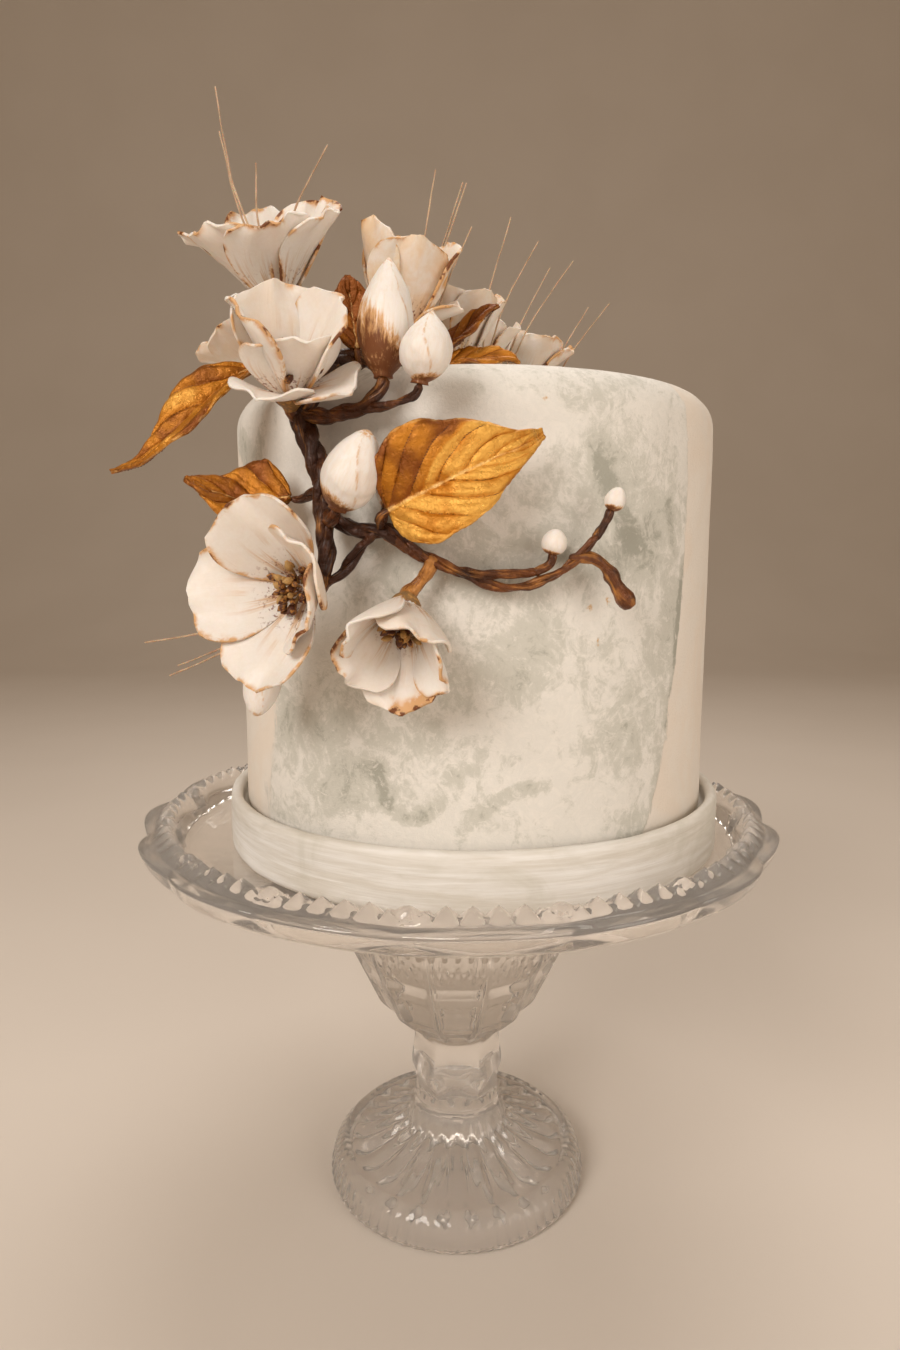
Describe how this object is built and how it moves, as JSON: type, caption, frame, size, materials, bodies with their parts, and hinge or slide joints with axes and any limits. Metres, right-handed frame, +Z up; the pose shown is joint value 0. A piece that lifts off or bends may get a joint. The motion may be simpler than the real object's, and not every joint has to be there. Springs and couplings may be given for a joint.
{
  "type": "wedding cake",
  "caption": "Single-tier round wedding cake with painted icing, sugar magnolias, gilded leaves and a twisted branch, on a cut-glass pedestal stand.",
  "frame": {"origin": "centre of the stand's foot, on its flat underside", "axes": "+Z up through the stand and the cake, -Y out of the front where the branch and flowers hang, +X to the right seen from the front"},
  "size_m": [0.282, 0.2841, 0.4671],
  "materials": {
    "cut_glass": "polished, clear",
    "painted_icing": "matt sugar paste, ivory, washed with grey-green paint",
    "sugar_petal": "matt sugar paste, ivory, with burnt brown edges",
    "dried_fibre": "fine dry plant fibre, pale straw",
    "branch_bark": "dark brown modelled sugar bark, satin",
    "gilded_leaf": "sugar paste brushed with antique gold lustre"
  },
  "bodies": {
    "root": {"glass_stand": "cut_glass", "cake_drum": "painted_icing", "cake": "painted_icing", "branch": "branch_bark", "flower_open_left": "sugar_petal", "flower_hanging": "sugar_petal", "flower_tulip": "sugar_petal", "flower_top_left": "sugar_petal", "flower_top_centre": "sugar_petal", "flower_behind_left": "sugar_petal", "flower_back_a": "sugar_petal", "flower_back_b": "sugar_petal", "flower_back_c": "sugar_petal", "flower_back_d": "sugar_petal", "bud_tall": "sugar_petal", "bud_small": "sugar_petal", "bud_centre": "sugar_petal", "bud_hidden": "sugar_petal", "bud_below": "sugar_petal", "bud_twig_near": "sugar_petal", "bud_twig_far": "sugar_petal", "bud_back": "sugar_petal", "leaf_front": "gilded_leaf", "leaf_left": "gilded_leaf", "leaf_behind_flower": "gilded_leaf", "leaf_dark": "gilded_leaf", "leaf_top_a": "gilded_leaf", "leaf_top_b": "gilded_leaf", "leaf_back": "gilded_leaf", "leaf_back_left": "gilded_leaf", "stalks_top_left": "dried_fibre", "stalks_top_centre": "dried_fibre", "stalks_middle": "dried_fibre", "stalks_back": "dried_fibre", "stalks_end": "dried_fibre", "stalks_left": "dried_fibre"}
  },
  "joints": []
}
